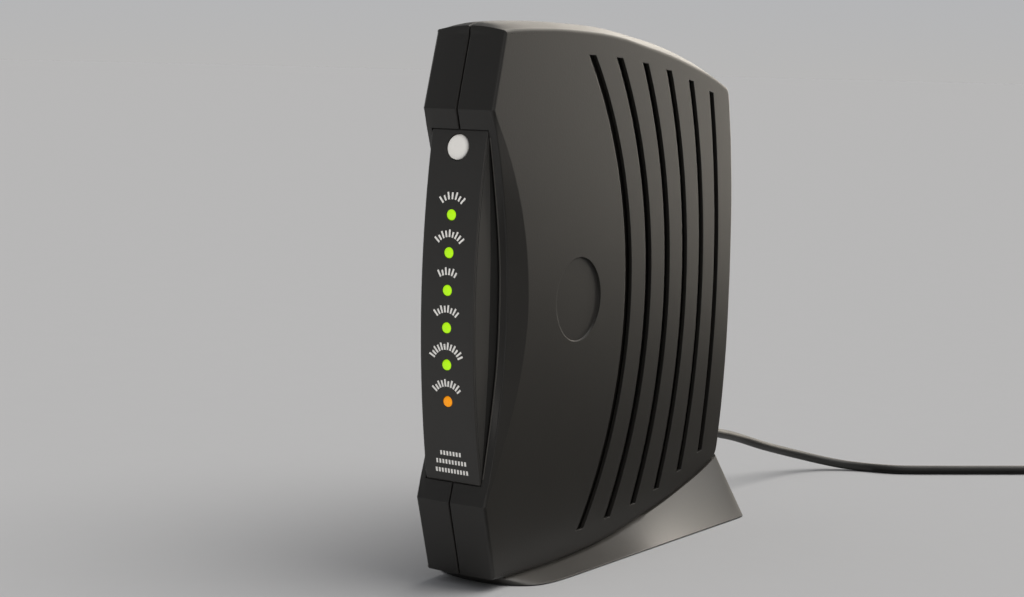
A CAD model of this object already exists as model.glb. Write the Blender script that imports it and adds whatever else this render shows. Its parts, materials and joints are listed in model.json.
# A desktop modem standing upright on its stand, with its power lead behind it.
# The front, with the lamp panel, faces -Y, the rear faces +Y and +Z is up; the casing halves
# meet at x = 0, the left one on the -X side. Shapes are given in mm in casing coordinates:
# y runs back from the front shoulder line and z is measured from the casing's mid height.
import bpy, bmesh, json, math, random
import numpy as np
from mathutils import Matrix, Vector
from mathutils.bvhtree import BVHTree


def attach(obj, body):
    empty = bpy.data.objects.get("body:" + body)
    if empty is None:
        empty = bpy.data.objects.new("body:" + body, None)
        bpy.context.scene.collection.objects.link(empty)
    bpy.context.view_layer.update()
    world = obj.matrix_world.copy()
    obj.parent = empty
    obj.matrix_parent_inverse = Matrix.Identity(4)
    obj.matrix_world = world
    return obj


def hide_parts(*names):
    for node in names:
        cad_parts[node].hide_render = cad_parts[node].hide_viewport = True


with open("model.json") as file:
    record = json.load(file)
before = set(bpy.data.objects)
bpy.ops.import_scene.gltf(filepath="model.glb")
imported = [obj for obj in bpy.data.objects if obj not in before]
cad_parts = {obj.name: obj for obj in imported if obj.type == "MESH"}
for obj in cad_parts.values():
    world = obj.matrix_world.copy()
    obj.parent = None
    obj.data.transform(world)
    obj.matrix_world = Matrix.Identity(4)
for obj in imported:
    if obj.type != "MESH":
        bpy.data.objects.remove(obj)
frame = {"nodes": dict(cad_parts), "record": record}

random.seed(7)
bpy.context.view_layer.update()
MM = 0.001
FRONT_Y = -72.0      # world y of the front shoulder line
MID_HEIGHT = 80.2    # world z of the casing's mid height
HOUSING = "housing"


# ------------------------------------------------------------------ meshes
def place(x, y, z):
    """Casing coordinates to world coordinates, both in mm."""
    return x, y + FRONT_Y, z + MID_HEIGHT


def add_mesh(name, verts, faces, material=None):
    mesh = bpy.data.meshes.new(name)
    coords = [tuple(float(c) * MM for c in place(*v)) for v in verts]
    mesh.from_pydata(coords, [], [tuple(int(i) for i in f) for f in faces])
    mesh.validate()
    bm = bmesh.new()
    bm.from_mesh(mesh)
    bmesh.ops.remove_doubles(bm, verts=bm.verts, dist=1e-7)
    bmesh.ops.recalc_face_normals(bm, faces=bm.faces)
    bm.to_mesh(mesh)
    bm.free()
    ob = bpy.data.objects.new(name, mesh)
    bpy.context.scene.collection.objects.link(ob)
    if material is not None:
        mesh.materials.append(material)
    return ob


def finish(ob, slot, body=HOUSING, replaces=None, smooth=True, sharp=38):
    """Shade the piece, with edges over `sharp` degrees kept sharp, and register it."""
    if smooth:
        for polygon in ob.data.polygons:
            polygon.use_smooth = True
        ob.data.set_sharp_from_angle(angle=math.radians(sharp))
    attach(ob, body)
    if replaces:
        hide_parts(replaces)


def finish_carved(ob, slot, replaces, sharp=30):
    ob.data.materials.clear()
    ob.data.materials.append(MAT[slot])
    finish(ob, slot, replaces=replaces, sharp=sharp)


def grid_faces(count, rings, base=0):
    """Quads between successive closed rings of `count` vertices."""
    out = []
    for k in range(rings - 1):
        for i in range(count):
            j = (i + 1) % count
            low, high = base + k * count, base + (k + 1) * count
            out.append((low + i, low + j, high + j, high + i))
    return out


class Builder:
    """Collects closed solids, in casing coordinates."""

    def __init__(self):
        self.verts, self.faces = [], []

    def skin(self, rings):
        """Solid through a row of rings, capped at both ends."""
        count, base = len(rings[0]), len(self.verts)
        for ring in rings:
            self.verts.extend(map(tuple, ring))
        self.faces += grid_faces(count, len(rings), base)
        self.faces.append(tuple(range(base + count - 1, base - 1, -1)))
        last = base + count * (len(rings) - 1)
        self.faces.append(tuple(range(last, last + count)))
        return self

    def box(self, x0, x1, y0, y1, z0, z1):
        return self.skin([[(x0, y0, z), (x1, y0, z), (x1, y1, z), (x0, y1, z)] for z in (z0, z1)])

    def turned(self, axis, across, z, stations, count=48):
        """Round solid through (place along the axis, radius) stations.

        The axis runs along x at y = across, or along y at x = across.
        """
        rings = []
        for along, radius in stations:
            ring = []
            for i in range(count):
                a = 2 * math.pi * i / count
                p, q = across + radius * math.cos(a), z + radius * math.sin(a)
                ring.append((along, p, q) if axis == "x" else (p, along, q))
            rings.append(ring)
        return self.skin(rings)

    def mesh(self, name, material):
        return add_mesh(name, self.verts, self.faces, MAT[material])

    def piece(self, name, slot, material=None, **options):
        finish(self.mesh(name, material or slot), slot, **options)


def carve(ob, builder):
    """Cut the builder's solids out of the object."""
    cutter = add_mesh("cutter", builder.verts, builder.faces)
    cut = ob.modifiers.new("cut", "BOOLEAN")
    cut.operation, cut.solver, cut.object = "DIFFERENCE", "EXACT", cutter
    bpy.context.view_layer.update()
    depsgraph = bpy.context.evaluated_depsgraph_get()
    mesh = bpy.data.meshes.new_from_object(ob.evaluated_get(depsgraph))
    ob.modifiers.remove(cut)
    old, cutter_mesh = ob.data, cutter.data
    ob.data = mesh
    bpy.data.meshes.remove(old)
    bpy.data.objects.remove(cutter)
    bpy.data.meshes.remove(cutter_mesh)


# ------------------------------------------------------------------ curves
def pchip(table, t):
    """Monotone cubic through the table's points."""
    x = np.array([a for a, _ in table], float)
    y = np.array([b for _, b in table], float)
    step, slope = np.diff(x), np.diff(y) / np.diff(x)
    m = np.zeros(len(x))
    m[0], m[-1] = slope[0], slope[-1]
    for i in range(1, len(x) - 1):
        if slope[i - 1] * slope[i] > 0:
            w1, w2 = 2 * step[i] + step[i - 1], step[i] + 2 * step[i - 1]
            m[i] = (w1 + w2) / (w1 / slope[i - 1] + w2 / slope[i])
    t = np.clip(np.asarray(t, float), x[0], x[-1])
    k = np.clip(np.searchsorted(x, t) - 1, 0, len(x) - 2)
    s = (t - x[k]) / step[k]
    return (y[k] * (2 * s**3 - 3 * s**2 + 1) + step[k] * m[k] * (s**3 - 2 * s**2 + s)
            + y[k + 1] * (3 * s**2 - 2 * s**3) + step[k] * m[k + 1] * (s**3 - s**2))


def catmull(points, per_span):
    """Catmull-Rom curve through the points."""
    points = np.asarray(points, float)
    ends = [2 * points[0] - points[1]], [2 * points[-1] - points[-2]]
    q = np.concatenate([ends[0], points, ends[1]])
    out = []
    for i in range(1, len(q) - 2):
        a, b, c, d = q[i - 1], q[i], q[i + 1], q[i + 2]
        for k in range(per_span):
            t = k / per_span
            out.append(0.5 * ((2 * b) + (c - a) * t + (2 * a - 5 * b + 4 * c - d) * t * t
                              + (3 * b - a - 3 * c + d) * t**3))
    out.append(points[-1])
    return np.array(out)


def smoothstep(v):
    return v * v * (3 - 2 * v)


def smooth_ring(v, passes):
    for _ in range(passes):
        v = 0.25 * np.roll(v, 1, 0) + 0.5 * v + 0.25 * np.roll(v, -1, 0)
    return v


def ring_normals(points):
    d = np.roll(points, -1, 0) - np.roll(points, 1, 0)
    d /= np.maximum(np.linalg.norm(d, axis=1), 1e-9)[:, None]
    return np.stack([-d[:, 1], d[:, 0]], 1)


# ------------------------------------------------------------------ materials
GRAIN_DEPTH = 0.0001              # bump distance, m
BLOTCH = 22.0                     # size of the wide colour variation, mm
WIDE_SHARE, FINE_SHARE = 0.55, 0.45   # shares of the two noises in the colour
LENS_GLOW = 0.75                  # emission strength facing the eye
RIM_GLOW = 0.45                   # share of it left at the lens rim


def add_node(tree, kind, inputs=(), **properties):
    node = tree.nodes.new(kind)
    for key, value in properties.items():
        setattr(node, key, value)
    for key, value in dict(inputs).items():
        node.inputs[key].default_value = value
    return node


def surface(name, color, rough, metal=0.0, grain=0.28, bump=0.05, vary=0.10, rough_vary=0.06,
            bevel=0.0, emit=None, spec=0.5, streak=None, clear=0.0):
    """Surface with varied colour and roughness and a fine grain.

    grain and bevel are in mm, vary is a share of the colour, streak scales the grain
    along x, y and z, and clear is the transmission.
    """
    material = bpy.data.materials.new(name)
    material.use_nodes = True
    tree = material.node_tree
    link = tree.links.new
    shader = tree.nodes["Principled BSDF"]
    coords = add_node(tree, "ShaderNodeTexCoord").outputs["Object"]
    fine_coords = coords
    if streak:
        mapping = add_node(tree, "ShaderNodeMapping", {"Scale": streak})
        link(coords, mapping.inputs["Vector"])
        fine_coords = mapping.outputs["Vector"]
    fine = add_node(tree, "ShaderNodeTexNoise", {"Scale": 1000.0 / grain, "Detail": 2.0})
    link(fine_coords, fine.inputs["Vector"])
    wide = add_node(tree, "ShaderNodeTexNoise",
                    {"Scale": 1000.0 / BLOTCH, "Detail": 5.0, "Roughness": 0.6})
    link(coords, wide.inputs["Vector"])

    base = Vector(color)
    mix = add_node(tree, "ShaderNodeMix",
                   {"A": (*(base * (1 - vary)), 1), "B": (*(base * (1 + vary)), 1)},
                   data_type="RGBA")
    blend = add_node(tree, "ShaderNodeMath", {1: WIDE_SHARE}, operation="MULTIPLY_ADD")
    fine_part = add_node(tree, "ShaderNodeMath", {1: FINE_SHARE}, operation="MULTIPLY")
    link(wide.outputs["Fac"], blend.inputs[0])
    link(fine.outputs["Fac"], fine_part.inputs[0])
    link(fine_part.outputs[0], blend.inputs[2])
    link(blend.outputs[0], mix.inputs["Factor"])
    link(mix.outputs["Result"], shader.inputs["Base Color"])

    roughness = add_node(tree, "ShaderNodeMapRange", {
        "To Min": max(0.02, rough - rough_vary), "To Max": min(1.0, rough + rough_vary)})
    link(wide.outputs["Fac"], roughness.inputs["Value"])
    link(roughness.outputs["Result"], shader.inputs["Roughness"])
    shader.inputs["Metallic"].default_value = metal
    shader.inputs["Specular IOR Level"].default_value = spec

    relief = add_node(tree, "ShaderNodeBump", {"Strength": bump, "Distance": GRAIN_DEPTH})
    link(fine.outputs["Fac"], relief.inputs["Height"])
    if bevel:
        rounding = add_node(tree, "ShaderNodeBevel", {"Radius": bevel * MM}, samples=6)
        link(rounding.outputs["Normal"], relief.inputs["Normal"])
    link(relief.outputs["Normal"], shader.inputs["Normal"])
    if emit:
        # brighter in the middle of the lens than at its rim
        shader.inputs["Emission Color"].default_value = (*emit, 1)
        facing = add_node(tree, "ShaderNodeLayerWeight", {"Blend": 0.35})
        glow = add_node(tree, "ShaderNodeMapRange",
                        {"To Min": LENS_GLOW, "To Max": LENS_GLOW * RIM_GLOW})
        link(facing.outputs["Facing"], glow.inputs["Value"])
        link(glow.outputs["Result"], shader.inputs["Emission Strength"])
    if clear:
        shader.inputs["Transmission Weight"].default_value = clear
    return material


MATERIALS = {
    "charcoal_plastic": dict(color=(0.0235, 0.0220, 0.0195), rough=0.40, grain=0.55, bump=0.20,
                             rough_vary=0.04, bevel=0.22),
    "charcoal_edge": dict(color=(0.080, 0.075, 0.067), rough=0.36, grain=0.5),
    "panel_gap": dict(color=(0.0150, 0.0144, 0.0132), rough=0.65, grain=0.5, spec=0.25),
    "bezel_plastic": dict(color=(0.0430, 0.0410, 0.0375), rough=0.42, grain=0.26, bump=0.09,
                          vary=0.08, bevel=0.1),
    "green_lens": dict(color=(0.30, 0.62, 0.01), rough=0.25, grain=1.2, bump=0.02, vary=0.12,
                       emit=(0.46, 0.90, 0.0)),
    "amber_lens": dict(color=(0.80, 0.25, 0.005), rough=0.25, grain=1.2, bump=0.02, vary=0.12,
                       emit=(0.85, 0.30, 0.0)),
    "lamp_resin": dict(color=(0.66, 0.68, 0.55), rough=0.2, grain=0.8, bump=0.02, clear=0.4),
    "silver_plastic": dict(color=(0.86, 0.85, 0.82), rough=0.42, grain=0.35, bump=0.10,
                           vary=0.07, bevel=0.15),
    "black_plastic": dict(color=(0.014, 0.014, 0.015), rough=0.42, grain=0.3, bump=0.08,
                          vary=0.2, bevel=0.15),
    "steel": dict(color=(0.50, 0.49, 0.47), rough=0.34, metal=1.0, grain=0.5, bump=0.03,
                  vary=0.12, rough_vary=0.1, bevel=0.12, streak=(0.15, 1.0, 1.0)),
    "board": dict(color=(0.012, 0.11, 0.030), rough=0.38, grain=0.8, bump=0.12, vary=0.35,
                  bevel=0.1),
    "chip_resin": dict(color=(0.016, 0.016, 0.018), rough=0.55, grain=0.18, bump=0.1, vary=0.2,
                       bevel=0.12),
    "alloy": dict(color=(0.44, 0.44, 0.45), rough=0.38, metal=1.0, grain=0.6, bump=0.06,
                  streak=(1.0, 1.0, 0.08), bevel=0.12),
    "nickel": dict(color=(0.62, 0.58, 0.50), rough=0.24, metal=1.0, grain=0.6, bump=0.02,
                   vary=0.08, bevel=0.12),
    "capacitor_sleeve": dict(color=(0.012, 0.03, 0.10), rough=0.3, grain=1.5, vary=0.2,
                             bevel=0.2),
    "cream_plastic": dict(color=(0.66, 0.62, 0.48), rough=0.45, grain=0.5, bump=0.04, vary=0.06,
                          bevel=0.12),
    "brass": dict(color=(0.60, 0.42, 0.12), rough=0.28, metal=1.0, grain=0.6, bump=0.03,
                  vary=0.12, bevel=0.08),
    "cord_rubber": dict(color=(0.020, 0.0195, 0.018), rough=0.48, grain=0.5, bump=0.10,
                        vary=0.18, bevel=0.15),
    "pad_rubber": dict(color=(0.012, 0.012, 0.012), rough=0.85, grain=0.5, bump=0.25, vary=0.25),
    "printed_ink": dict(color=(0.90, 0.89, 0.86), rough=0.6, grain=0.2, vary=0.06),
}
MAT = {name: surface(name, **values) for name, values in MATERIALS.items()}

# ------------------------------------------------------------------ CAD pieces
UNROUNDED = ("left_shell", "right_shell", "led_panel", "stand", "rear_panel")
WELD_DISTANCE, ROUNDING = 2e-6, 0.00012   # m


def dress_cad_pieces():
    slot_of = {part["node"]: part["material_slot"] for part in frame["record"]["subparts"]}
    for name, ob in frame["nodes"].items():
        ob.data.materials.clear()
        ob.data.materials.append(MAT[slot_of[name]])
        ob.modifiers.new("weld", "WELD").merge_threshold = WELD_DISTANCE
        if name not in UNROUNDED:
            bevel = ob.modifiers.new("round", "BEVEL")
            bevel.width, bevel.segments = ROUNDING, 2
            bevel.limit_method, bevel.angle_limit = "ANGLE", math.radians(40)
            bevel.use_clamp_overlap = True


dress_cad_pieces()

# ------------------------------------------------------------------ casing profile
W_MID, W_TAPER = 12.1, 0.3    # half width at mid height, and its loss 55 mm above or below
SHOULDER = 54.9               # half height of the hollow front
CHIN, CORNER = 5.9, 76.7      # y and z where the front meets the top
SAG, SCOOP = 8.0, 19.7        # depth of the hollow front at the seam and at the side face
RIDGE_IN, RIDGE = 1.4, 8.8    # ridge beside the hollow: inset at mid height, and its depth
RIDGE_ROUND = 0.4             # rounding of that ridge
EDGE = 1.1                    # rounding of the other side edges
WALL, HOLLOW_WALL = 2.3, 3.0  # wall thickness, in general and behind the hollow front
SEAM_X = 0.15                 # x of each half's rim at the seam
CREST_START = 36              # y where the front and rear chains meet on the top
# (y, z) along the top
TOP = [(CHIN, CORNER), (12, 77.2), (22, 77.65), (36, 77.9), (54.2, 77.5), (68.7, 76.5),
       (83.9, 74.3), (99.8, 71.8), (116.5, 68.3), (129, 65.1), (138.4, 61.9)]
BACK_Y, BACK_Z = TOP[-1]
# (distance above or below mid height, y) of the rear face
REAR = [(0, 145.1), (20, 144.7), (42.7, 142.9), (53, 141.4), (57.8, 140.6), (60.4, 139.8),
        (BACK_Z, BACK_Y)]
# (y, height of the crown at the seam) over the upper half
CROWN = [(0, 1.8), (50, 2.2), (70, 2.8), (85, 3.4), (110, 4.15), (128, 4.0), (139, 2.9)]


def arc_y(z, sag):
    """Circular arc `sag` deep at mid height, zero at the shoulders."""
    radius = (SHOULDER * SHOULDER + sag * sag) / (2 * sag)
    z = np.minimum(np.abs(z), SHOULDER)
    return np.sqrt(radius * radius - z * z) - (radius - sag)


def half_width(z):
    return W_MID - W_TAPER * (np.clip(z, -77, 77) / 55.0) ** 2


def chains():
    """Front and rear side-view chains from the bottom crest to the top crest, as (y, z).

    Both have the same length; a mask marks the hollow part of the front.
    """
    top_y = np.linspace(CHIN, CREST_START, 18)
    top = np.stack([top_y, pchip(TOP, top_y)], 1)
    chin_z = np.concatenate([[SHOULDER], np.linspace(SHOULDER + 0.5, SHOULDER + 2.5, 4),
                             np.arange(58.6, 75.2, 1.1), [75.6, 76.2]])
    chin = np.stack([CHIN * (chin_z - SHOULDER) / (CORNER - SHOULDER), chin_z], 1)
    hollow_z = np.concatenate([np.arange(0, 52.6, 1.5), [53.3, 54.2]])
    front_up = np.concatenate([np.stack([arc_y(hollow_z, SAG), hollow_z], 1), chin, top])
    z = front_up[:, 1]
    slope_y = np.linspace(CREST_START, BACK_Y, 2000)
    on_slope = np.interp(-z, -pchip(TOP, slope_y), slope_y)
    on_rear = pchip(REAR, np.minimum(z, BACK_Z))
    rear_up = np.stack([np.where(z <= BACK_Z, on_rear, on_slope), z], 1)
    # keep the two chains 2 mm apart at the crest
    front_up[-1, 0] = CREST_START - 1.0
    rear_up[-1, 0] = CREST_START + 1.0

    def mirrored(up):
        return np.concatenate([np.stack([up[1:, 0], -up[1:, 1]], 1)[::-1], up])

    front, rear = mirrored(front_up), mirrored(rear_up)
    return front, rear, np.abs(front[:, 1]) < SHOULDER - 0.2


FRONT, REAR_CHAIN, FRONT_HOLLOW = chains()
CHAIN = len(FRONT)
OUTLINE = np.concatenate([FRONT, REAR_CHAIN[::-1]])
NORMALS = smooth_ring(ring_normals(OUTLINE), 1)


# ------------------------------------------------------------------ grooves and openings
# Curved slots across the side faces: y at mid height, y and z at the arc's reference end,
# width, then the reach of the front edge and rear edge below, and of both above
SLOTS = [
    (76.0, 51.9, 70.7, 4.05, 70.7, 70.7, 70.7, 70.7),
    (88.35, 67.7, 70.2, 3.9, 70.1, 70.0, 70.3, 70.1),
    (100.35, 83.4, 68.8, 3.65, 68.6, 68.5, 68.9, 68.7),
    (111.9, 98.3, 66.8, 3.45, 66.4, 66.2, 67.0, 66.7),
    (123.05, 113.0, 63.7, 3.2, 63.0, 62.5, 64.0, 63.5),
    (133.65, 127.05, 60.0, 3.0, 58.8, 58.1, 60.5, 59.8),
]
SLOT_WALL = 1.05   # wall left around the slots where it is thinned from inside


def slot_rings(slot, side, x_in, x_out, grow=0.0, lengthen=0.0):
    """Solid along one slot from x_in to x_out(z), widened and lengthened on every side."""
    y_mid, y_end, z_end, width, low_front, low_rear, high_front, high_rear = slot
    sag = y_mid - y_end
    radius = (z_end**2 + sag**2) / (2 * sag)

    def arc(z):
        return y_mid - radius + math.sqrt(radius * radius - min(abs(z), radius) ** 2)

    rings = []
    for t in np.linspace(0, 1, 56):
        zf = -(low_front + lengthen) + (low_front + high_front + 2 * lengthen) * t
        zr = -(low_rear + lengthen) + (low_rear + high_rear + 2 * lengthen) * t
        yf, yr = arc(zf) - width / 2 - grow, arc(zr) + width / 2 + grow
        xi, xo = side * x_in, side * x_out(zf)
        rings.append([(xi, yf, zf), (xi, yr, zr), (xo, yr, zr), (xo, yf, zf)])
    return rings


PANEL_HALF = 49.4                     # half height of the lamp panel
PANEL_FRONT, PANEL_SAG = -3.2, 4.8    # y of its face at mid height, and the rise to its ends
PANEL_GAP = 0.2


def panel_half_width(z):
    return 8.9 + 0.45 * (np.asarray(z) / PANEL_HALF) ** 2


def panel_y(z):
    return PANEL_FRONT + PANEL_SAG * (np.asarray(z) / PANEL_HALF) ** 2


def panel_opening():
    rings = []
    for z in np.linspace(-PANEL_HALF - 0.04, PANEL_HALF + 0.04, 40):
        half = float(panel_half_width(z)) + PANEL_GAP
        rings.append([(-half, -6, z), (half, -6, z), (half, 16, z), (-half, 16, z)])
    return rings


# ------------------------------------------------------------------ casing halves
RECESS_Y, RECESS_Z, RECESS_R = 47.1, -0.6, 12.4    # shallow round recess in each side
RECESS_DEPTH = 0.62
POSTS = [(20, 56), (20, -56), (113, 52), (113, -50)]    # (y, z)
# offsets and depths of the first rings at the seam: x, step below the crown
SEAM_RINGS = [(0.15, 0.55), (0.22, 0.32), (0.36, 0.12), (0.62, 0.0)]
# share of the way from ridge to side face at each ring of the edge, the first three at the
# ridge's own rounding, which turns by RIDGE_TURN degrees
EDGE_SHARES = [0.0, 0.0, 0.0, 0.03, 0.10, 0.28, 0.46, 0.64, 0.82, 0.94, 0.975, 1.0]
RIDGE_TURN = [30, 60, 90]


def crown_heights(is_front, hollow):
    """Height of the crown at the seam, along the outward normal."""
    y, z = OUTLINE[:, 0], OUTLINE[:, 1]
    height = np.abs(z)
    crown = np.where(z > 0, pchip(CROWN, np.clip(y, 0, 139)), 0.0)
    rear_face = ~is_front & (height < BACK_Z)
    rear_crown = 0.9 + (np.clip(z, 30, BACK_Z) - 30) / 31.9 * 1.6
    crown = np.where(rear_face, rear_crown, crown)
    crown = np.where((z < -61) & ~is_front, 0.0, crown)
    crown = np.where(is_front & (height < CORNER - 0.05), 0.43, crown)
    crown = np.where(hollow, 0.3, crown)
    return smooth_ring(crown, 3)


def outer_layers(side):
    """Rings of the outer surface, from the seam out to the edge of the side face."""
    count = len(OUTLINE)
    z = OUTLINE[:, 1]
    height = np.abs(z)
    hollow = np.concatenate([FRONT_HOLLOW, np.zeros(CHAIN, bool)])
    crown = crown_heights(np.arange(count) < CHAIN, hollow)
    width = half_width(z)
    # how far each point belongs to the hollow front, fading out at the shoulders
    blend = smoothstep(np.where(hollow, np.clip((SHOULDER - height) / 6.0, 0, 1), 0.0))
    middle = smoothstep(np.clip((42 - height) / 34, 0, 1))
    flare = np.where(hollow, -RIDGE_IN * middle - 0.8 * arc_y(z, 1.0) * (1 - middle), 0.0)
    x_edge = width - EDGE + (flare + EDGE - RIDGE_ROUND) * blend
    dy_ridge = np.where(hollow, arc_y(z, RIDGE) - 1.5 * flare - arc_y(z, SAG), 0.0)
    lower_lift = 1.7 * np.clip((-z - 4) / 30, 0, 1) * np.clip((SHOULDER + z) / 14, 0, 1)
    dy_scoop = arc_y(z, SCOOP) - arc_y(z, SAG) - np.where(hollow & (z < 0), lower_lift, 0.0)
    layers = []

    def layer(x, grow, dy=0.0):
        p = OUTLINE + NORMALS * grow[:, None]
        p[:, 0] += dy
        layers.append(np.stack([side * np.broadcast_to(x, (count,)), p[:, 0], p[:, 1]], 1))

    for x, drop in SEAM_RINGS:
        layer(x, crown - drop)
    start = SEAM_RINGS[-1][0]
    for t in np.linspace(0.10, 1.0, 14):
        x = start + (x_edge - start) * t
        rise = np.clip((x - (x_edge - 2.2)) / 2.2, 0, 1) ** 1.4
        layer(x, crown * (1 - (x / x_edge) ** 2), dy_ridge * rise)
    # chins, top and rear turn into the side by a rounded edge; the hollow front ends in a
    # ridge with the scoop behind it
    for k, t in enumerate(EDGE_SHARES):
        a = math.radians(90.0 * (k + 1) / len(EDGE_SHARES))
        edge_x, edge_grow = width - EDGE + EDGE * math.sin(a), -EDGE * (1 - math.cos(a))
        if k < len(RIDGE_TURN):
            b = math.radians(RIDGE_TURN[k])
            ridge_x = width + flare - RIDGE_ROUND + RIDGE_ROUND * math.sin(b)
            ridge_grow, ridge_dy = -RIDGE_ROUND * (1 - math.cos(b)), dy_ridge
        else:
            ridge_x = (width + flare) * (1 - t) + width * t
            ridge_grow = -RIDGE_ROUND * (1 - t)
            ridge_dy = dy_ridge * (1 - t) + t * dy_scoop
        dy = np.where(hollow, ridge_dy * blend + t * dy_scoop * (1 - blend) * 0.5, 0.0)
        layer(edge_x * (1 - blend) + ridge_x * blend,
              edge_grow * (1 - blend) + ridge_grow * blend, dy)
    return layers


def add_side_face(side, last, base, verts, faces):
    """Rows across the side face, between the front and rear chains of the last ring."""
    columns = 44
    near_edge = np.array([0.0, 0.3, 0.8, 1.8, 4.0])    # closer columns by the edges, mm
    mirror = 2 * CHAIN - 1
    index = np.zeros((CHAIN, columns + 1), int)
    for i in range(CHAIN):
        a, b = last[i], last[mirror - i]
        index[i, 0], index[i, columns] = base + i, base + mirror - i
        span = max(float(np.linalg.norm(b - a)), 1e-6)
        edge = np.minimum(near_edge, span * np.arange(5) / 12.0)
        between = np.linspace(edge[-1], span - edge[-1], columns - 7)[1:-1]
        shares = np.concatenate([edge, between, (span - edge)[::-1]]) / span
        for c in range(1, columns):
            p = a + (b - a) * shares[c]
            p[0] = side * half_width(p[2])
            index[i, c] = len(verts)
            verts.append(tuple(p))
    for i in range(CHAIN - 1):
        for c in range(columns):
            faces.append((index[i, c], index[i, c + 1], index[i + 1, c + 1], index[i + 1, c]))


def add_inner_surface(side, verts, faces):
    """Coarser inside, joined to the outer surface by the rim at the seam."""
    count = 2 * CHAIN
    behind = np.concatenate([np.abs(FRONT[:, 1]) < SHOULDER + 3, np.zeros(CHAIN, bool)])
    normals = smooth_ring(ring_normals(OUTLINE), 2)
    inner = OUTLINE - normals * np.where(behind, HOLLOW_WALL, WALL)[:, None]
    inner_x = half_width(inner[:, 1]) - 2.0
    base = len(verts)
    for t in (0.0, 1.0):
        x = SEAM_X + (inner_x - SEAM_X) * t
        verts.extend(map(tuple, np.stack([side * x, inner[:, 0], inner[:, 1]], 1)))
    faces += grid_faces(count, 2, base)
    far = base + count
    for i in range(CHAIN - 1):
        faces.append((far + i, far + count - 1 - i, far + count - 2 - i, far + i + 1))
    for i in range(count):
        j = (i + 1) % count
        faces.append((i, j, base + j, base + i))


def build_posts(side):
    """Four posts inside the half; those on the left are thicker and bored."""
    posts = Builder()
    for y, z in POSTS:
        wall_x = side * half_width(z)
        radius, tip = (3.2, -5.9) if side < 0 else (2.4, -0.8)
        root = wall_x - side * 1.2
        stations = [(root, radius + 0.6), (root - side * 1.2, radius), (tip, radius)]
        if side < 0:
            stations += [(tip, 1.45), (wall_x + 2.4, 1.45), (wall_x + 2.4, 0.02)]
        posts.turned("x", y, z, stations, 32)
    return posts


def build_shell(side, name):
    rings = outer_layers(side)
    count = 2 * CHAIN
    verts = [tuple(v) for ring in rings for v in ring]
    faces = grid_faces(count, len(rings))
    add_side_face(side, rings[-1], (len(rings) - 1) * count, verts, faces)
    add_inner_surface(side, verts, faces)
    ob = add_mesh(name, verts, faces, MAT["charcoal_plastic"])

    cut = Builder()
    for slot in SLOTS:
        cut.skin(slot_rings(slot, side, 8.0, lambda z: 14.0))
    cut.skin(panel_opening())
    cut.box(-9.6, 9.6, 133.5, 152, -60.3, 47.3)    # rear opening
    x = side * (W_MID - RECESS_DEPTH)
    cut.turned("x", RECESS_Y, RECESS_Z, [
        (x, RECESS_R - 0.18), (x + side * 0.10, RECESS_R - 0.04),
        (x + side * 0.35, RECESS_R + 0.02), (side * 15, RECESS_R + 0.1)], 160)
    carve(ob, cut)

    # the wall is thinned behind the slots
    thin = Builder()
    for slot in SLOTS:
        thin.skin(slot_rings(slot, side, 7.9, lambda z: float(half_width(z)) - SLOT_WALL,
                             grow=0.9, lengthen=0.4))
    carve(ob, thin)

    posts = build_posts(side).mesh(name + "_posts", "charcoal_plastic")
    bm = bmesh.new()
    bm.from_mesh(ob.data)
    bm.from_mesh(posts.data)
    bm.to_mesh(ob.data)
    bm.free()
    bpy.data.objects.remove(posts)
    finish_carved(ob, "charcoal_plastic", name, sharp=13)
    ob.name = name + "_casing"
    return ob


left = build_shell(-1, "left_shell")
right = build_shell(1, "right_shell")

# ------------------------------------------------------------------ lamp panel
LAMP_PITCH = 10.4
# lamps from the top down: name, then count and spread in degrees of the ticks over it
LAMPS = [("power", 7, 84), ("receive", 9, 100), ("send", 6, 62), ("online", 8, 84),
         ("activity", 12, 126), ("standby", 10, 102)]
LAMP_Z = [(2.5 - i) * LAMP_PITCH for i in range(len(LAMPS))]
BUTTON_Z, BUTTON_R = 44.5, 3.5
END_ROUND, END_TUCK = 0.6, 0.22    # length and depth of the rounding at the panel's ends
RIM = 0.42                         # rounding of its long edges


def flank_step(y, z):
    """y of the step in the panel's flank, its inset there, and y of the hollow front."""
    hollow = float(arc_y(z, SAG))
    step = y + 0.72 * max(hollow - y, 2.0)
    inset = 0.12 * min(1.0, max(0.0, (hollow - y - 2.2) / 2.0))
    return step, inset, hollow


def panel_section(z):
    """Cross-section: a face plate with a rounded rim, a fine groove behind it, the flank."""
    end = min(abs(abs(z) - PANEL_HALF), END_ROUND)
    tuck = END_TUCK * (1 - math.sqrt(max(0.0, 1 - ((END_ROUND - end) / END_ROUND) ** 2)))
    half, y = float(panel_half_width(z)) - tuck, float(panel_y(z)) + tuck
    step, inset, hollow = flank_step(y, z)
    flank = [(-half + inset, hollow + 3.6), (-half + inset, step + 0.25), (-half, step),
             (-half, step - 0.15), (-half, y + 1.15), (-half + 0.2, y + 1.02),
             (-half + 0.2, y + 0.84), (-half + 0.02, y + 0.74), (-half, y + RIM)]
    for a in (25, 50, 75):
        t = math.radians(a)
        flank.append((-half + RIM * (1 - math.cos(t)), y + RIM * (1 - math.sin(t))))
    flank.append((-half + RIM, y))
    face = [(half * share, y - lift) for share, lift in
            ((-0.6, 0.02), (-0.25, 0.04), (0.25, 0.04), (0.6, 0.02))]
    other = [(-x, flank_y) for x, flank_y in flank[::-1]]
    return [(x, section_y, z) for x, section_y in flank + face + other]


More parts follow.
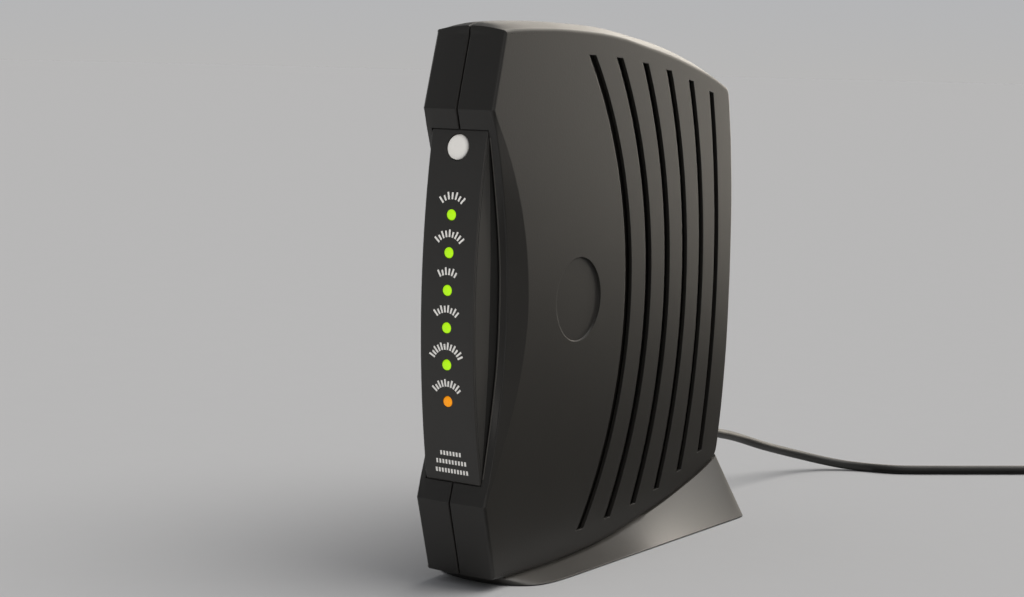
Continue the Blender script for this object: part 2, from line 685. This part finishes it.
def build_panel():
    end = PANEL_HALF
    zs = np.concatenate([[-end, -end + 0.12, -end + 0.3], np.linspace(-end + 0.6, end - 0.6, 61),
                         [end - 0.3, end - 0.12, end]])
    ob = Builder().skin([panel_section(z) for z in zs]).mesh("led_panel_bezel", "bezel_plastic")

    hollow = []
    for z in np.linspace(-end + 0.6, end - 0.6, 30):
        half, y = float(panel_half_width(z)) - 1.6, float(panel_y(z)) + 2.0
        hollow.append([(-half, y, z), (half, y, z), (half, 24, z), (-half, 24, z)])
    carve(ob, Builder().skin(hollow))

    holes = Builder()
    for z in LAMP_Z:
        y = float(panel_y(z))
        holes.turned("y", 0, z, [(y - 1, 1.78), (y + 0.02, 1.62), (y + 0.12, 1.57), (y + 8, 1.57)])
    y = float(panel_y(BUTTON_Z))
    holes.turned("y", 0, BUTTON_Z, [(y - 2.5, BUTTON_R + 0.25), (y + 8, BUTTON_R + 0.22)], 64)
    carve(ob, holes)
    finish_carved(ob, "bezel_plastic", "led_panel")


def build_panel_sides(side, tag, shell):
    """Dark strip along the panel's flank, and a thin lip on the casing's opening."""
    flank = []
    for z in np.linspace(-PANEL_HALF + 3, PANEL_HALF - 3, 70):
        step, inset, hollow = flank_step(float(panel_y(z)), z)
        x, y0, y1 = float(panel_half_width(z)) - inset, step + 0.1, hollow + 3.2
        if y1 - y0 > 0.3:
            x0, x1 = side * (x - 0.25), side * (x + 0.03)
            flank.append([(x0, y0, z), (x1, y0, z), (x1, y1, z), (x0, y1, z)][::side])

    # the lip follows the casing surface just outside the gap
    radius = 0.2
    tree = BVHTree.FromPolygons([shell.matrix_world @ v.co for v in shell.data.vertices],
                                [tuple(p.vertices) for p in shell.data.polygons])
    lip = []
    for z in np.linspace(-PANEL_HALF + 2, PANEL_HALF - 2, 90):
        x = float(panel_half_width(z)) + PANEL_GAP + radius
        start = Vector(place(side * x, -30, z)) * MM
        hit = tree.ray_cast(start, Vector((0, 1, 0)), 0.1)[0]
        if hit is not None:
            y = hit.y / MM - FRONT_Y + 0.03
            angles = [2 * math.pi * i / 10 for i in range(10)]
            ring = [(side * (x + radius * math.cos(a)), y + radius * math.sin(a), z)
                    for a in angles]
            lip.append(ring[::side])
    Builder().skin(flank).piece(tag + "_panel_flank", "bezel_plastic", "panel_gap", sharp=30)
    Builder().skin(lip).piece(tag + "_opening_lip", "charcoal_plastic", "charcoal_edge", sharp=70)


def build_lens(name, z):
    """Domed lens with a straight stem behind it."""
    y = float(panel_y(z))
    slot = "amber_lens" if name == "standby" else "green_lens"
    stations = [(y - 0.22, 0.02), (y - 0.21, 0.5), (y - 0.15, 0.95), (y - 0.05, 1.28),
                (y + 0.1, 1.46), (y + 0.35, 1.5), (12.6, 1.5)]
    lens = Builder().turned("y", 0, z, stations, 40)
    lens.piece(name + "_lens", slot, replaces=name + "_light_pipe")


# (y behind the face, radius) of the button's domed disc and the collar behind it
BUTTON = [(-0.55, 0.02), (-0.54, 1.0), (-0.50, 2.0), (-0.44, 2.7), (-0.36, 3.0), (-0.22, 3.25),
          (0.0, 3.42), (0.25, BUTTON_R), (3.0, BUTTON_R), (3.01, 3.95), (4.0, 3.95), (4.01, 1.3)]


def build_button():
    face = float(panel_y(BUTTON_Z)) + 0.1
    stations = [(face + y, radius) for y, radius in BUTTON] + [(10.2, 1.3)]
    cap = Builder().turned("y", 0, BUTTON_Z, stations, 64)
    # its face leans with the slope of the panel
    tilt = 2 * PANEL_SAG * BUTTON_Z / PANEL_HALF**2
    cap.verts = [(x, y + (tilt * (z - BUTTON_Z) if y < face + 1 else 0), z)
                 for x, y, z in cap.verts]
    cap.piece("button_cap", "silver_plastic", body="standby_button", replaces="standby_button")


build_panel()
build_panel_sides(-1, "left", left)
build_panel_sides(1, "right", right)
for (name, _, _), z in zip(LAMPS, LAMP_Z):
    build_lens(name, z)
build_button()

# ------------------------------------------------------------------ printed marks
TICK_START, TICK_WIDTH = 4.3, 0.55      # radius from the lamp's centre, stroke width
TICK_LENGTHS = (2.1, 1.6, 2.1, 1.85)
BAR_LENGTH, BAR_HEIGHT = 0.6, 1.25
BAR_ROWS = [(-41.0, 3.7, 7), (-43.5, 5.3, 10), (-46.1, 5.7, 11)]    # z, half length, count
INK_OUT, INK_IN = -0.075, 0.05          # y of the ink's faces from the panel face


def mark(builder, points, width):
    """Ribbon of even width along (x, z) points, lying on the panel face."""
    points = np.array(points, float)
    d = np.gradient(points, axis=0)
    d /= np.linalg.norm(d, axis=1)[:, None]
    normals = np.stack([-d[:, 1], d[:, 0]], 1)
    rings = []
    for p, normal in zip(points, normals):
        a, b = p - normal * width / 2, p + normal * width / 2
        corners = ((a, INK_OUT), (b, INK_OUT), (b, INK_IN), (a, INK_IN))
        rings.append([(q[0], float(panel_y(q[1])) + dy, q[1]) for q, dy in corners])
    builder.skin(rings)


def build_marks():
    marks = Builder()
    for (_, count, spread), z in zip(LAMPS, LAMP_Z):
        # a fan of ticks over each lamp
        step = spread / (count - 1)
        for k in range(count):
            a = math.radians((k - (count - 1) / 2) * step)
            radii = (TICK_START, 4.8, 5.3, TICK_START + TICK_LENGTHS[k % 4])
            points = [(r * math.sin(a), z + r * math.cos(a)) for r in radii]
            mark(marks, points, TICK_WIDTH)
    # rows of short bars under the lowest lamp
    for z, half, count in BAR_ROWS:
        for k in range(count):
            x = -half + (k + 0.5) * 2 * half / count
            mark(marks, [(x + t, z) for t in (-BAR_LENGTH / 2, 0.0, BAR_LENGTH / 2)], BAR_HEIGHT)
    marks.piece("panel_print_marks", "bezel_plastic", "printed_ink", smooth=False)


build_marks()

# ------------------------------------------------------------------ rear plate
COAX_Z = -27
# rectangular openings: x, z, half width, half height
REAR_PORTS = [(1, 9, 7.6, 8.4), (0.6, 32, 5.6, 6.4)]


def build_rear():
    rings = []
    for z in np.concatenate([[-60.0, -59.8], np.linspace(-59.4, 46.4, 60), [46.8, 47.0]]):
        y = float(pchip(REAR, abs(z))) - 1.4
        inner = min(y - 2, 141)
        rings.append([(-9.3, y, z), (9.3, y, z), (9.3, inner, z), (-9.3, inner, z)])
    ob = Builder().skin(rings).mesh("rear_plate", "charcoal_plastic")
    cut = Builder()
    for x, z, half_x, half_z in REAR_PORTS:
        cut.box(x - half_x, x + half_x, 130, 150, z - half_z, z + half_z)
    # small hole with a wider mouth, the coaxial connector's hole, the power plug's opening
    cut.turned("y", 0, -9, [(130, 1.3), (142.9, 1.3), (143.5, 1.9), (150, 1.9)], 40)
    cut.turned("y", 0, COAX_Z, [(130, 5.2), (150, 5.2)], 64)
    cut.box(-4.9, 4.9, 130, 150, -54.8 - 4.3, -54.8 + 5.4)
    carve(ob, cut)
    finish_carved(ob, "charcoal_plastic", "rear_panel")


def build_coax():
    """Coaxial connector: threaded barrel with an open bore."""
    stations = [(124, 4.2), (142, 4.2)]
    y = 142.0
    while y < 150.2:
        stations += [(y + 0.05, 4.7), (y + 0.22, 4.72), (y + 0.42, 4.28), (y + 0.52, 4.26)]
        y += 0.62    # thread pitch
    stations += [(150.6, 4.6), (151.0, 4.2), (151.0, 3.35), (146.2, 3.3), (146.1, 1.1), (142, 1.0)]
    barrel = Builder().turned("y", 0, COAX_Z, stations, 64)
    barrel.piece("coax_barrel", "nickel", replaces="coax_connector", sharp=50)


build_rear()
build_coax()

# ------------------------------------------------------------------ stand
# half outline from front to rear: y and x at the foot, y and x at the top
STAND = [
    (12.2, 0.01, 9.6, 0.01), (12.5, 4.6, 9.8, 3.6), (13.8, 9, 10.8, 7), (16, 13.4, 13, 9.4),
    (19.4, 16.9, 16.5, 10.6), (24, 18.8, 22, 11.2), (32, 19.9, 31, 11.5), (46, 20.6, 46, 11.7),
    (60, 21.2, 60, 11.8), (80, 22.1, 80, 11.8), (100, 23, 100, 11.7), (118, 23.9, 118, 11.7),
    (131.6, 24.5, 134.5, 11.9), (136, 24.3, 139, 11.7), (137.5, 22.8, 140.2, 10.4),
]
MIN_X = 0.01             # keeps the two halves from touching
FOOT_Z = 0.30            # height of the foot above the ground
PAD_RECESS_TOP = 0.60    # height of the recess for the pad above the ground
PAD_MID_Y, PAD_SCALE = 74, 0.982


def deck_height(y):
    """Height above the ground of the casing's underside."""
    back = BACK_Z - (y - BACK_Y) * 0.65
    return MID_HEIGHT - np.where(y > BACK_Y, back, pchip(TOP, np.clip(y, CHIN, BACK_Y)))


def build_stand():
    outline = catmull(STAND, 6)
    outline[:, [1, 3]] = np.maximum(outline[:, [1, 3]], MIN_X)
    foot_y, foot_x, top_y, top_x = outline.T
    top_z = deck_height(top_y) - 0.3
    rings = []
    for t in np.concatenate([[0, 0.02, 0.06], np.linspace(0.12, 1, 12)]):
        x = np.maximum(foot_x * (1 - t) + top_x * t, MIN_X)
        y = foot_y * (1 - t) + top_y * t
        z = FOOT_Z + (top_z - FOOT_Z) * t
        half = np.stack([x, y, z - MID_HEIGHT], 1)
        other = half[::-1].copy()
        other[:, 0] *= -1
        rings.append(np.concatenate([half, other]))
    rows = len(outline)
    count = 2 * rows
    faces = grid_faces(count, len(rings))
    last = count * (len(rings) - 1)
    for i in range(rows - 1):
        strip = (i, i + 1, count - 2 - i, count - 1 - i)
        faces.append(strip[::-1])
        faces.append(tuple(last + k for k in strip))
    verts = [tuple(v) for ring in rings for v in ring]
    ob = add_mesh("stand_body", verts, faces, MAT["charcoal_plastic"])

    # seat for the casing
    seat = OUTLINE + NORMALS * 0.12
    carve(ob, Builder().skin([[(x, y, z) for y, z in seat] for x in (-30, 30)]))

    # recess under the foot for the pad
    plan = []
    for foot_y, foot_x, top_y, top_x in outline:
        if foot_x > 4:
            rise = max(1.5, float(deck_height(top_y)) - PAD_RECESS_TOP)
            margin = max(0.7, (foot_x - top_x) * 0.3 / rise + 0.4)
            plan.append((max(MIN_X, foot_x - margin),
                         PAD_MID_Y + (foot_y - PAD_MID_Y) * PAD_SCALE))
    loop = plan + [(-x, y) for x, y in plan[::-1]]
    heights = (-1.0, PAD_RECESS_TOP)
    carve(ob, Builder().skin([[(x, y, z - MID_HEIGHT) for x, y in loop] for z in heights]))
    finish_carved(ob, "charcoal_plastic", "stand")


build_stand()

# ------------------------------------------------------------------ power lead
PLUG_Z = -54.6
LEAD_R = 1.6
LEAD_START_Y = 152.0    # the jacket begins here, inside the plug's taper
# (x, y, z) along the lead, from the plug down to the ground and away
LEAD = [
    (0, 146, PLUG_Z - 0.4), (0, 151, -55.8), (0, 157, -57.4), (0, 165, -59.3), (0, 173, -61.2),
    (0.2, 182, -63.7), (2.6, 194, -67.6), (5, 206.4, -71.2), (8.6, 216.6, -74.2),
    (13.4, 224, -76.5), (19.2, 229, -78.0), (26, 232.2, -78.6), (33, 234, -78.6),
    (40, 237.2, -78.6), (51.6, 246.2, -78.6), (63.5, 256, -78.6), (75.4, 265.9, -78.6),
    (84, 273, -78.6),
]
# (y, drop, radius) of the taper behind the plug
TAPER = [(147.5, -0.25, 3.0), (151, -1.2, 2.7), (154.5, -2.2, 2.35), (158, -3.05, 2.0)]


def build_lead():
    path = catmull(LEAD, 14)
    path = path[np.searchsorted(path[:, 1], LEAD_START_Y):]
    d = np.gradient(path, axis=0)
    d /= np.linalg.norm(d, axis=1)[:, None]
    count = 28
    rings = []
    for centre, along in zip(path, d):
        across = np.cross(along, [0, 0, 1.0])
        across /= np.linalg.norm(across)
        up = np.cross(across, along)
        ring = []
        for i in range(count):
            a = 2 * math.pi * i / count
            p = centre + LEAD_R * (math.cos(a) * across + math.sin(a) * up)
            ring.append((p[0], p[1], max(0.02 - MID_HEIGHT, p[2])))    # stays above the ground
        rings.append(ring)
    jacket = Builder().skin(rings)
    jacket.piece("power_lead_jacket", "cord_rubber", body="power_lead", replaces="power_cord")


def build_plug():
    plug = Builder()
    # ribbed grip
    grip = [(139.4, 3.6), (139.5, 3.85), (139.9, 4.12), (140.6, 4.15)]
    y = 141.2
    while y < 145.5:
        grip += [(y, 4.15), (y + 0.15, 3.9), (y + 0.45, 3.9), (y + 0.6, 4.15)]
        y += 1.1
    grip += [(146.4, 4.12), (147.2, 4.0), (147.9, 3.6), (148.2, 3.1)]
    plug.turned("y", 0, PLUG_Z, grip)
    # grooved taper that droops with the lead
    taper = catmull(TAPER, 8)
    rings = []
    for k, (y, drop, radius) in enumerate(taper):
        grooved = k % 4 in (2, 3) and 2 < k < len(taper) - 3
        r = radius - (0.25 if grooved else 0)
        rings.append([(r * math.cos(a), y, PLUG_Z + drop + r * math.sin(a))
                      for a in np.linspace(0, 2 * math.pi, 33)[:-1]])
    plug.skin(rings)
    # narrower front end
    plug.turned("y", 0, PLUG_Z, [(129, 1.35), (129, 2.35), (129.4, 2.6), (141, 2.6)], 40)
    plug.piece("power_plug_body", "cord_rubber", body="power_lead", replaces="power_plug")


build_lead()
build_plug()

# ------------------------------------------------------------------ floor and world
scene = bpy.context.scene


def add_sheet(name, corners, material_name, **look):
    """Single flat face, corners in m."""
    mesh = bpy.data.meshes.new(name)
    mesh.from_pydata(corners, [], [(0, 1, 2, 3)])
    ob = bpy.data.objects.new(name, mesh)
    scene.collection.objects.link(ob)
    mesh.materials.append(surface(material_name, **look))
    return ob


def build_world():
    """Dim soft room light; the camera sees a plain pale backdrop instead of it."""
    world = bpy.data.worlds.new("studio")
    scene.world = world
    world.use_nodes = True
    tree = world.node_tree
    link = tree.links.new
    room = tree.nodes["Background"]
    room.inputs["Color"].default_value = (0.96, 0.97, 1.0, 1)
    room.inputs["Strength"].default_value = 0.24
    backdrop = add_node(tree, "ShaderNodeBackground", {"Strength": 1.0})
    coords = add_node(tree, "ShaderNodeTexCoord")
    split = add_node(tree, "ShaderNodeSeparateXYZ")
    rise = add_node(tree, "ShaderNodeMapRange", {"From Min": 0.0, "From Max": 0.5})
    # grey at the horizon, bluer above
    sky = add_node(tree, "ShaderNodeMix",
                   {"A": (0.474, 0.470, 0.467, 1), "B": (0.28, 0.38, 0.55, 1)}, data_type="RGBA")
    ray = add_node(tree, "ShaderNodeLightPath")
    mix = add_node(tree, "ShaderNodeMixShader")
    link(coords.outputs["Generated"], split.inputs["Vector"])
    link(split.outputs["Z"], rise.inputs["Value"])
    link(rise.outputs["Result"], sky.inputs["Factor"])
    link(sky.outputs["Result"], backdrop.inputs["Color"])
    link(ray.outputs["Is Camera Ray"], mix.inputs["Fac"])
    link(room.outputs[0], mix.inputs[1])
    link(backdrop.outputs[0], mix.inputs[2])
    link(mix.outputs[0], tree.nodes["World Output"].inputs["Surface"])


FLOOR = 60    # half size, m
add_sheet(
    "studio_floor", [(-FLOOR, -FLOOR, 0), (FLOOR, -FLOOR, 0), (FLOOR, FLOOR, 0), (-FLOOR, FLOOR, 0)],
    "studio_floor_paint", color=(0.655, 0.66, 0.67), rough=0.9, grain=6, bump=0.01, vary=0.015,
    spec=0.0)
scene.view_settings.view_transform = "Standard"
build_world()

# ------------------------------------------------------------------ lights
AIM = Vector((0, 0, 0.07))
pieces = [o for o in scene.objects
          if o.type == "MESH" and o.name != "studio_floor" and not o.hide_render]
body_pieces = [o for o in pieces if o.name != "stand_body"]
stand_only = [bpy.data.objects["stand_body"]]
print_and_button = [bpy.data.objects[name] for name in ("panel_print_marks", "button_cap")]
# name, azimuth from +Y towards +X and elevation in degrees, distance, width and height in m,
# radiance, colour, the pieces it falls on
SOFTBOXES = [
    ("softbox_rear", 0, 24, 1.5, 1.3, 1.1, 2.0, (1.0, 0.92, 0.80), pieces),
    ("softbox_side", 9, 9, 0.8, 0.29, 0.23, 3.2, (1.0, 0.91, 0.78), body_pieces),
    ("softbox_low", 11, -3, 0.65, 0.23, 0.14, 2.6, (1.0, 0.92, 0.80), body_pieces),
    ("softbox_left", -26, 20, 1.4, 0.5, 0.35, 2.4, (1.0, 0.93, 0.82), pieces),
    ("fill_front", 205, 25, 1.5, 0.9, 0.9, 3.2, (1.0, 0.97, 0.93), print_and_button),
    ("strip_front", 124, 6, 1.5, 0.10, 0.9, 4.6, (1.0, 0.96, 0.90), pieces),
    ("fill_left", -78, 28, 1.6, 1.0, 0.8, 1.5, (1.0, 0.97, 0.92), pieces),
    ("stand_fill", 84, 42, 1.2, 0.4, 0.3, 7.0, (1.0, 0.93, 0.84), stand_only),
    ("stand_nose_light", -14, 32, 1.3, 0.8, 0.5, 4.0, (1.0, 0.93, 0.84), stand_only),
]


def add_light(name, light, direction):
    """Light object shining along the direction."""
    ob = bpy.data.objects.new(name, light)
    scene.collection.objects.link(ob)
    ob.rotation_mode = "QUATERNION"
    ob.rotation_quaternion = direction.to_track_quat("-Z", "Y")
    return ob


def add_softbox(name, azimuth, elevation, distance, width, height, radiance, color, receivers):
    a, e = math.radians(azimuth), math.radians(elevation)
    toward = Vector((math.sin(a) * math.cos(e), math.cos(a) * math.cos(e), math.sin(e)))
    location = AIM + distance * toward
    light = bpy.data.lights.new(name, "AREA")
    light.shape, light.size, light.size_y = "RECTANGLE", width, height
    light.energy, light.color = radiance * math.pi * width * height, color
    ob = add_light(name, light, AIM - location)
    ob.location = location
    ob.visible_camera = False
    group = bpy.data.collections.new(name + "_receivers")
    for receiver in receivers:
        group.objects.link(receiver)
    ob.light_linking.receiver_collection = group


def add_black_card():
    """Card on the floor on the +X side, seen only by reflections.

    It makes the side face fall off towards its foot.
    """
    corners = [(0.03, -0.12, 0.0008), (1.2, -0.5, 0.0008), (1.2, 1.6, 0.0008), (0.03, 1.6, 0.0008)]
    card = add_sheet("black_card", corners, "card_black", color=(0.01, 0.01, 0.01), rough=0.9,
                     grain=6, bump=0.01, vary=0.1, spec=0.1)
    for ray in ("camera", "diffuse", "shadow", "transmission", "volume_scatter"):
        setattr(card, "visible_" + ray, False)


def add_sky_panel():
    sun = bpy.data.lights.new("sky_panel", "SUN")
    sun.energy, sun.angle, sun.color = 1.8, math.radians(60), (1.0, 0.97, 0.93)
    add_light("sky_panel", sun, Vector((-0.35, -0.35, -0.87)))


for row in SOFTBOXES:
    add_softbox(*row)
bpy.data.lights["stand_nose_light"].use_shadow = False
add_black_card()
add_sky_panel()

# ------------------------------------------------------------------ camera
CAMERA_PLACE = (0.30575, -0.51028, 0.1467)
# the camera's own right, up and backward directions
CAMERA_AXES = ((0.83542074, 0.54912986, 0.02299118),
               (-0.08386345, 0.08602082, 0.99275744),
               (0.54317503, -0.83129827, 0.1179155))


def add_camera():
    lens = bpy.data.cameras.new("camera")
    camera = bpy.data.objects.new("camera", lens)
    scene.collection.objects.link(camera)
    pose = Matrix(CAMERA_AXES).transposed().to_4x4()
    pose.translation = CAMERA_PLACE
    camera.matrix_world = pose
    lens.sensor_fit, lens.sensor_width, lens.lens = "HORIZONTAL", 36.0, 68.32
    lens.clip_start, lens.clip_end = 0.01, 100
    scene.camera = camera


add_camera()

bpy.context.view_layer.update()
